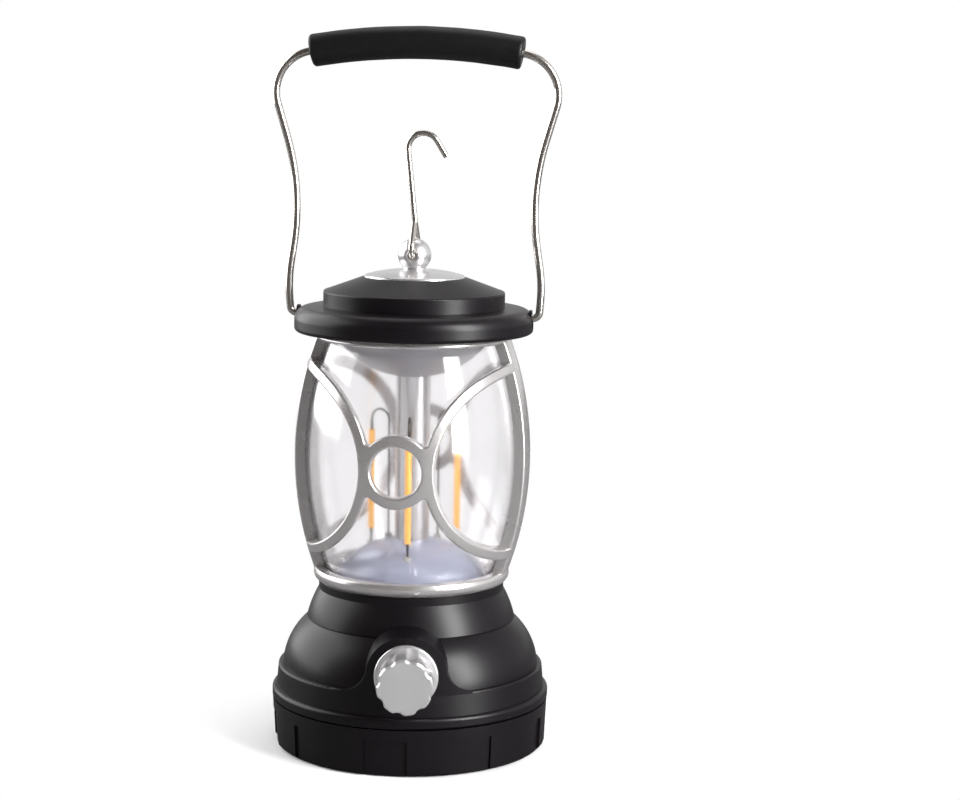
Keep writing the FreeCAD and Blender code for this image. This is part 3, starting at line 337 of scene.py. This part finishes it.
# %% crimps on all three filaments
FILAMENT_COUNT = 3
FILAMENT_RING = 23.0 * MM
FILAMENT_PHASE = -86.4  # degrees from +X to the first
strip_low, strip_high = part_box("led_filaments")
crimp_copies = []
for k in range(FILAMENT_COUNT):
    angle = math.radians(FILAMENT_PHASE + k * 360 / FILAMENT_COUNT)
    for height, turn in ((strip_high.z, 0), (strip_low.z, math.pi)):
        copy = crimp.copy()
        copy.data = crimp.data.copy()
        copy.location = (FILAMENT_RING * math.cos(angle), FILAMENT_RING * math.sin(angle), height)
        copy.rotation_euler = (turn, 0, 0)
        bpy.context.collection.objects.link(copy)
        crimp_copies.append(copy)
bpy.data.objects.remove(crimp)
bpy.ops.object.select_all(action="DESELECT")
for copy in crimp_copies:
    copy.select_set(True)
crimps = crimp_copies[0]
bpy.context.view_layer.objects.active = crimps
bpy.ops.object.join()
bpy.ops.object.transform_apply(location=True, rotation=True, scale=True)
crimps.name = "filament_crimps"
print(crimps.name, "at", len(crimp_copies), "strip ends")

# %% oxidised steel
OXIDE_PATCHES = 1.5
oxide, tree, shader, spot = new_material("oxidised_steel", {"Metallic": 0.7, "Roughness": 0.42})
tint(tree, shader, noise(tree, spot, OXIDE_PATCHES, detail=2.0), "#221E1A", "#332E29")
crimps.data.materials.append(oxide)
print(oxide.name, "on", crimps.name)

# %% [markdown]
# The remaining pieces are mostly hidden, and still get what they are made of: plated steel for
# screws and rods, brass for contacts, rubber for seals, and so on. Each has one noise that moves
# its colour between two shades and its roughness with it, at a size that suits the material.

# %% materials of the inner pieces
INNER_SPREAD = 0.06     # roughness either side of the middle one
INNER = {           # two shades, metallic share, middle roughness, pattern size, wearers
    "zinc_plated_steel": ("#9C9B98", "#B2B1AE", 1.0, 0.38, 3.0,
                          ["chassis_screws", "board_screws", "cap_screws", "contact_screws", "tie_rod",
                           "tie_nut", "pot_nut", "pot_shaft"]),
    "nickel_iron_lead": ("#4A4540", "#6A645D", 1.0, 0.35, 2.0, ["filament_wires"]),
    "rolled_brass": ("#B7995A", "#CBAF70", 1.0, 0.32, 5.0,
                     ["cell_contacts", "cover_contacts", "contact_leaves"]),
    "silicone_rubber": ("#1D1C1C", "#262525", 0.0, 0.62, 2.0,
                        ["cover_seal", "globe_gasket_lower", "globe_gasket_upper"]),
    "white_steatite": ("#D9D7D0", "#E6E4DE", 0.0, 0.5, 1.5, ["filament_sockets"]),
    "grey_moulded_abs": ("#2A2A2B", "#343435", 0.0, 0.5, 9.0, ["battery_chassis", "dimmer_pot"]),
    "component_epoxy": ("#18181A", "#232325", 0.0, 0.4, 2.0, ["board_parts"]),
}
for name, (dark, light, metallic, rough, size, wearers) in INNER.items():
    inner, tree, shader, spot = new_material(name, {"Metallic": metallic})
    drift = noise(tree, spot, size, detail=3.0)
    tint(tree, shader, drift, dark, light)
    polish(tree, shader, drift, rough - INNER_SPREAD, rough + INNER_SPREAD)
    dress(inner, *wearers)

# %% [markdown]
# Two inner pieces have a pattern of their own. A cell wears a printed jacket, black with a copper
# coloured band at its top, so its colour is picked by height. The driver board is green solder mask
# over copper tracks, and a brick pattern makes tracks about 3 mm apart.

# %% cell jackets
CELL_BAND_HEIGHT = 52.0 * MM
jacket, tree, shader, spot = new_material("printed_cell_jacket", {"Metallic": 0.6, "Roughness": 0.32})
height = add_node(tree, "ShaderNodeSeparateXYZ", links={"Vector": spot}).outputs["Z"]
band = add_node(tree, "ShaderNodeMath", fields={"operation": "GREATER_THAN"},
                values={1: CELL_BAND_HEIGHT}, links={0: height})
tint(tree, shader, band.outputs["Value"], "#1A1A1C", "#B4713F")
dress(jacket, "d_cells")

# %% driver board
TRACK_PITCH = 3
BRICK_ROWS = 4          # rows of the brick texture in one unit, at a scale of 1
mask, tree, shader, spot = new_material("green_solder_mask", {"Roughness": 0.3})
upright = add_node(tree, "ShaderNodeMapping", values={"Rotation": (math.radians(90), 0, 0)},
                   links={"Vector": spot})
tracks = add_node(tree, "ShaderNodeTexBrick",
                  values={"Scale": per_size(TRACK_PITCH) / BRICK_ROWS, "Mortar Size": 0.06,
                          "Color1": linear("#14502B"), "Color2": linear("#175A31"),
                          "Mortar": linear("#2E7A45")},
                  links={"Vector": upright.outputs["Vector"]})
tree.links.new(tracks.outputs["Color"], shader.inputs["Base Color"])
dress(mask, "driver_board")

# %% [markdown]
# The sleeve on the bail is closed-cell foam tube, pushed over the wire and bent with it. It could be
# a bent cylinder, but a cylinder has no rings along its length to bend. Spinning a circle about the
# centre of the bail's arch gives the curve and the rings at once. The ends are then closed, set in
# round the wire and rounded.

# %% foam sleeve
SLEEVE_RADIUS = 7.3 * MM
SLEEVE_LENGTH = 95.0 * MM
SLEEVE_RINGS = 60
SLEEVE_SIDES = 48
WIRE_RADIUS = 1.7 * MM
ARCH_RADIUS = 270.0 * MM
arch_centre = Vector((0, 0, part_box("bail_wire")[1].z - WIRE_RADIUS - ARCH_RADIUS))
half_angle = math.asin(SLEEVE_LENGTH / 2 / ARCH_RADIUS)


def on_arch(angle):
    """A point of the bail's arch, at an angle from its middle."""
    return arch_centre + ARCH_RADIUS * Vector((math.sin(angle), 0, math.cos(angle)))


bpy.ops.object.select_all(action="DESELECT")
bpy.ops.mesh.primitive_circle_add(vertices=SLEEVE_SIDES, radius=SLEEVE_RADIUS,
                                  location=on_arch(-half_angle),
                                  rotation=(0, math.pi / 2 - half_angle, 0))
sleeve = bpy.context.object
sleeve.name = "foam_sleeve"
bpy.ops.object.transform_apply(location=True, rotation=True, scale=True)
bpy.ops.object.mode_set(mode="EDIT")
bpy.ops.mesh.select_all(action="SELECT")
bpy.ops.mesh.spin(steps=SLEEVE_RINGS, angle=2 * half_angle, center=arch_centre, axis=(0, -1, 0))
bpy.ops.object.mode_set(mode="OBJECT")
print("sleeve spun:", len(sleeve.data.vertices), "points", len(sleeve.data.polygons), "faces")

# %% ends of the sleeve
WIRE_ROOM = 0.1 * MM
POCKET_DEPTH = 3.0 * MM
END_REACH = 0.01 * MM   # points this near an end's plane belong to it


def select_end(side):
    """Selects the ring of points at one end of the sleeve, in edit mode."""
    bpy.ops.object.mode_set(mode="OBJECT")
    end = on_arch(side * half_angle)
    along = Vector((math.cos(half_angle), 0, -side * math.sin(half_angle)))
    for point in sleeve.data.vertices:
        point.select = abs((point.co - end).dot(along)) < END_REACH
    bpy.ops.object.mode_set(mode="EDIT")


for side in (-1, 1):
    select_end(side)
    bpy.ops.mesh.edge_face_add()
    bpy.ops.mesh.inset(thickness=SLEEVE_RADIUS - WIRE_RADIUS - WIRE_ROOM)
    bpy.ops.mesh.extrude_region_move(
        TRANSFORM_OT_translate={"value": Vector((-side * POCKET_DEPTH, 0, 0))})
    print("end", side, "closed, with a pocket round the wire")
bpy.ops.mesh.select_all(action="SELECT")
bpy.ops.mesh.normals_make_consistent(inside=False)
bpy.ops.object.mode_set(mode="OBJECT")

# %% [markdown]
# Foam has no sharp corners, so a bevel rounds each end. It is also never quite even: a push of up to
# an eighth of a millimetre in or out, by a cloud pattern about 9 mm wide, takes the machined look
# away. Both are modifiers, applied because later steps read the final mesh.

# %% soft edges and unevenness
SLEEVE_ROUND = 1.7 * MM
ROUND_SEGMENTS = 4
ROUND_ANGLE = math.radians(60)
SLEEVE_WAVES = 9.0 * MM
SLEEVE_UNEVEN = 0.25 * MM   # from the deepest place to the highest
rounding = sleeve.modifiers.new("rounding", "BEVEL")
rounding.width = SLEEVE_ROUND
rounding.segments = ROUND_SEGMENTS
rounding.angle_limit = ROUND_ANGLE
bpy.ops.object.modifier_apply(modifier=rounding.name)
clouds = bpy.data.textures.new("foam_clouds", "CLOUDS")
clouds.noise_scale = SLEEVE_WAVES
push = sleeve.modifiers.new("push", "DISPLACE")
push.texture = clouds
push.texture_coords = "LOCAL"
push.strength = SLEEVE_UNEVEN
push.mid_level = 0.5
bpy.ops.object.modifier_apply(modifier=push.name)
bpy.ops.object.shade_smooth()
print("sleeve finished:", len(sleeve.data.polygons), "faces")

# %% [markdown]
# Nitrile foam is dull black with tiny closed cells at its skin. They scatter light, so it shows a
# dim grey bloom rather than a highlight. A cell pattern gives the pores, drawn at 0.9 mm because the
# real ones are too small to show, and a wide noise lightens places that hands have rubbed.

# %% nitrile foam
PORE_SIZE = 0.9
PORE_DEPTH = 0.15 * MM
RUBBED_SIZE = 11
foam, tree, shader, spot = new_material("nitrile_foam", {"Roughness": 0.44, "Specular IOR Level": 0.35})
tint(tree, shader, noise(tree, spot, RUBBED_SIZE, detail=3.0), "#070707", "#0B0B0B")
pores = add_node(tree, "ShaderNodeTexVoronoi", values={"Scale": per_size(PORE_SIZE)}, links={"Vector": spot})
emboss(tree, shader, pores.outputs["Distance"], strength=0.35, depth=PORE_DEPTH)
sleeve.data.materials.append(foam)
print(foam.name, "on", sleeve.name)

# %% [markdown]
# Floor and light. The lantern stands in front of a white sweep, lit by a large soft box on the left
# and slightly behind, a narrow bright one on the right, and a weak one above and behind that lifts
# the top of the cap and the sleeve. The room in front is dim, which is why the black pieces stay
# black in the middle and the wires have a dark core.

# %% soft boxes
AIM = Vector((0, 0, 0.14))
SOFT_BOXES = {      # azimuth and elevation in degrees, distance, width and height in metres, watts
    "left_box": (-106, 23, 1.2, 1.5, 1.15, 19.0),
    "right_box": (59, 20, 1.3, 0.42, 1.15, 36.0),
    "top_box": (180, 70, 1.5, 1.0, 1.0, 4.2),
}


def soft_box(name, azimuth, elevation, distance, width, height, watts):
    """A rectangular lamp that faces the lantern, placed by its angles as seen from it."""
    a, e = math.radians(azimuth), math.radians(elevation)
    away = Vector((math.sin(a) * math.cos(e), -math.cos(a) * math.cos(e), math.sin(e)))
    bpy.ops.object.light_add(type="AREA", location=AIM + away * distance)
    lamp = bpy.context.object
    lamp.name = name
    lamp.rotation_euler = away.to_track_quat("Z", "Y").to_euler()
    lamp.data.shape = "RECTANGLE"
    lamp.data.size = width
    lamp.data.size_y = height
    lamp.data.energy = watts
    print(name, "radiance", round(watts / (math.pi * width * height), 2))


for name, settings in SOFT_BOXES.items():
    soft_box(name, *settings)

# %% [markdown]
# The world is the room round the lantern. The camera sees plain white. In reflections the room is
# white behind and pale on the right, and a dim warm grey elsewhere: a wire shows that as a white
# stripe on a dark brown core. Through the globe the room is white behind and on the right, and greyer
# on the left, which shades the post. Diffuse light from the room is a low, even fill.
# Each wall is found from the direction of a ray, whose X and Y go from -1 to 1.

# %% world
WHITE = (1, 1, 1, 1)
FILL = 0.45
ROOM_TONE = linear("#463F3A")
world = bpy.data.worlds.new("studio_room")
bpy.context.scene.world = world
world.use_nodes = True
tree = world.node_tree
rays = add_node(tree, "ShaderNodeLightPath")
facing = add_node(tree, "ShaderNodeSeparateXYZ",
                  links={"Vector": add_node(tree, "ShaderNodeTexCoord").outputs["Generated"]})


def larger(tree, first, second):
    """The larger of two outputs."""
    made = add_node(tree, "ShaderNodeMath", fields={"operation": "MAXIMUM"}, links={0: first, 1: second})
    return made.outputs["Value"]


behind = ramp(tree, facing.outputs["Y"], start=0.5, end=0.95, high=0.72)
right = ramp(tree, facing.outputs["X"], start=0.2, end=0.65, high=0.6)
mirrored = mixed(tree, larger(tree, behind, right), values={"A": ROOM_TONE, "B": WHITE})
lit = mixed(tree, rays.outputs["Is Glossy Ray"], values={"A": (FILL, FILL, FILL, 1)}, links={"B": mirrored})
backdrop = ramp(tree, facing.outputs["Y"], start=0.3, end=0.7)
sides = ramp(tree, facing.outputs["X"], start=-0.8, end=0.5, low=0.4)
through = mixed(tree, rays.outputs["Is Transmission Ray"],
                links={"A": lit, "B": larger(tree, backdrop, sides)})
shown = mixed(tree, rays.outputs["Is Camera Ray"], values={"B": WHITE}, links={"A": through})
tree.links.new(shown, tree.nodes["Background"].inputs["Color"])
print("room with fill", FILL)

# %% [markdown]
# The floor is matt white paper. Near the lantern it keeps the soft shadow, and further out it fades
# into the white of the room, so there is no horizon. In reflections it is darker, like the room.

# %% floor
FLOOR_RADIUS = 3.0
FLOOR_SIDES = 96
FLOOR_DROP = 0.5 * MM   # below the lantern's foot
bpy.ops.mesh.primitive_circle_add(vertices=FLOOR_SIDES, radius=FLOOR_RADIUS, fill_type="NGON",
                                  location=(0, 0, -FLOOR_DROP))
floor = bpy.context.object
floor.name = "paper_floor"
bpy.ops.object.transform_apply(location=True, rotation=True, scale=True)
print("floor of radius", FLOOR_RADIUS, "m")

# %% white paper
FADE_NEAR = 0.07
FADE_FAR = 0.115
paper, tree, shader, spot = new_material("white_paper", {"Roughness": 0.9})
rays = add_node(tree, "ShaderNodeLightPath")
tint(tree, shader, rays.outputs["Is Glossy Ray"], "#F4F4F4", "#5A5A5A")
reach = add_node(tree, "ShaderNodeVectorMath", fields={"operation": "LENGTH"}, links={0: spot})
fade = add_node(tree, "ShaderNodeMapRange", fields={"interpolation_type": "SMOOTHSTEP"},
                values={"From Min": FADE_NEAR, "From Max": FADE_FAR},
                links={"Value": reach.outputs["Value"]})
glow = add_node(tree, "ShaderNodeEmission", values={"Strength": 1.0})
seen = larger(tree, rays.outputs["Is Camera Ray"], rays.outputs["Is Transmission Ray"])
share = add_node(tree, "ShaderNodeMath", fields={"operation": "MULTIPLY"},
                 links={0: fade.outputs["Result"], 1: seen})
blend = add_node(tree, "ShaderNodeMixShader",
                 links={0: share.outputs["Value"], 1: shader.outputs["BSDF"], 2: glow.outputs["Emission"]})
tree.links.new(blend.outputs["Shader"], tree.nodes["Material Output"].inputs["Surface"])
floor.data.materials.append(paper)
print("floor fades from", FADE_NEAR, "to", FADE_FAR, "m")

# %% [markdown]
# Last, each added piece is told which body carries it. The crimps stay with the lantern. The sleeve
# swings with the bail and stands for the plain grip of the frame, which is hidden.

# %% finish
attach(crimps, "lantern")
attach(sleeve, "bail")
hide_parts("bail_grip")
